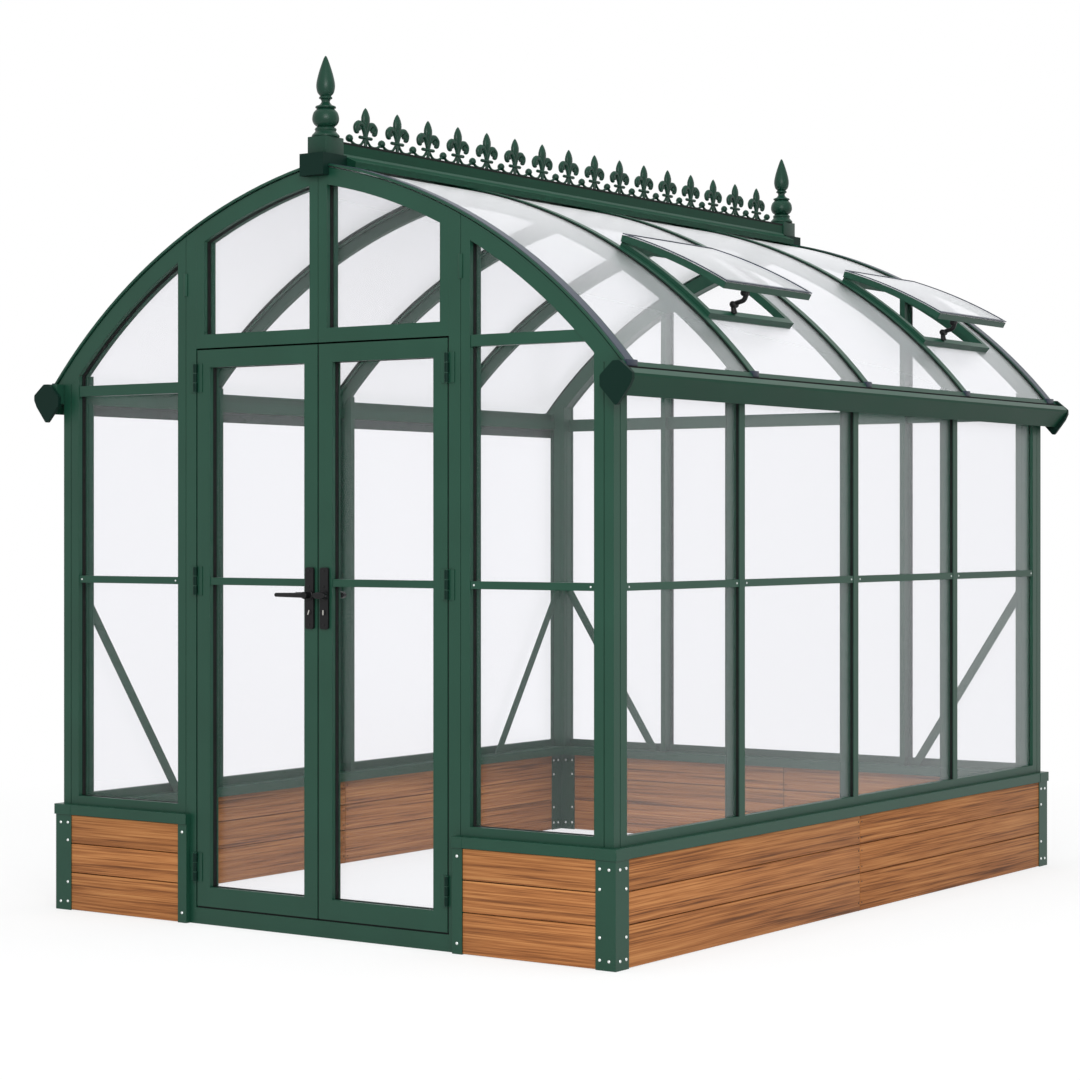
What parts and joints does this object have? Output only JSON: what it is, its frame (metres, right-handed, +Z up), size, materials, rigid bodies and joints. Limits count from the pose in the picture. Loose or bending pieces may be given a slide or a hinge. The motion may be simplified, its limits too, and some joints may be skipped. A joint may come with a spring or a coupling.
{
  "type": "garden greenhouse",
  "caption": "Glazed garden greenhouse on a boarded base, with outward double doors, a pointed curved roof, raised vents, gutters, ridge cresting and finials.",
  "frame": {"origin": "on the ground under the middle of the building", "axes": "+Z up, -Y out of the door gable, +X towards the slope with the roof vents"},
  "size_m": [2.6026, 3.26, 2.984],
  "materials": {
    "green_frame": "satin dark green powder coat on aluminium",
    "dark_castings": "satin near-black green paint on cast aluminium",
    "base_boards": "warm brown boards with streaked grain",
    "clear_glass": "clear toughened glass",
    "black_furniture": "satin black"
  },
  "bodies": {
    "greenhouse": {"base_angles": "green_frame", "side_sills": "green_frame", "gable_sills": "green_frame", "corner_posts": "green_frame", "side_wall_bars": "green_frame", "back_wall_bars": "green_frame", "door_posts": "green_frame", "side_panel_frames": "green_frame", "fanlight_frames": "green_frame", "back_arch": "green_frame", "wall_rails": "green_frame", "gable_ties": "green_frame", "wall_braces": "green_frame", "eave_beams": "green_frame", "gutters": "green_frame", "roof_ribs": "green_frame", "roof_cap_strips": "green_frame", "ridge_purlins": "green_frame", "ridge_capping": "green_frame", "ridge_cresting": "green_frame", "finials": "green_frame", "door_threshold": "green_frame", "vent_curbs": "green_frame", "vent_sashes": "green_frame", "door_post_hinges": "green_frame", "gutter_end_caps": "dark_castings", "ridge_end_blocks": "dark_castings", "base_left_panels": "base_boards", "base_right_panels": "base_boards", "base_front_panels": "base_boards", "base_back_panels": "base_boards", "side_wall_panes": "clear_glass", "front_gable_panes": "clear_glass", "back_gable_panes": "clear_glass", "roof_panes": "clear_glass", "vent_panes": "clear_glass", "vent_stays": "black_furniture"},
    "left_door": {"left_door_frame": "green_frame", "left_door_pane": "clear_glass", "left_door_hinges": "green_frame", "left_handle_plates": "black_furniture"},
    "left_lever": {"left_door_lever": "black_furniture"},
    "right_door": {"right_door_frame": "green_frame", "right_door_pane": "clear_glass", "right_door_hinges": "green_frame", "right_handle_plates": "black_furniture"},
    "right_lever": {"right_door_lever": "black_furniture"}
  },
  "joints": [
    {"name": "left_door_swing", "type": "hinge", "parent": "greenhouse", "child": "left_door", "pos_m": [-0.551, -1.588, 0], "axis": [0, 0, -1], "range_deg": [0, 105]},
    {"name": "right_door_swing", "type": "hinge", "parent": "greenhouse", "child": "right_door", "pos_m": [0.551, -1.588, 0], "axis": [0, 0, 1], "range_deg": [0, 105]},
    {"name": "left_lever_turn", "type": "hinge", "parent": "left_door", "child": "left_lever", "pos_m": [-0.032, -1.5575, 1.155], "axis": [0, -1, 0], "range_deg": [0, 45], "stiffness_Nm_per_rad": 1.5, "springref_deg": -17.19},
    {"name": "right_lever_turn", "type": "hinge", "parent": "right_door", "child": "right_lever", "pos_m": [0.032, -1.5575, 1.155], "axis": [0, 1, 0], "range_deg": [0, 45], "stiffness_Nm_per_rad": 1.5, "springref_deg": -17.19}
  ]
}
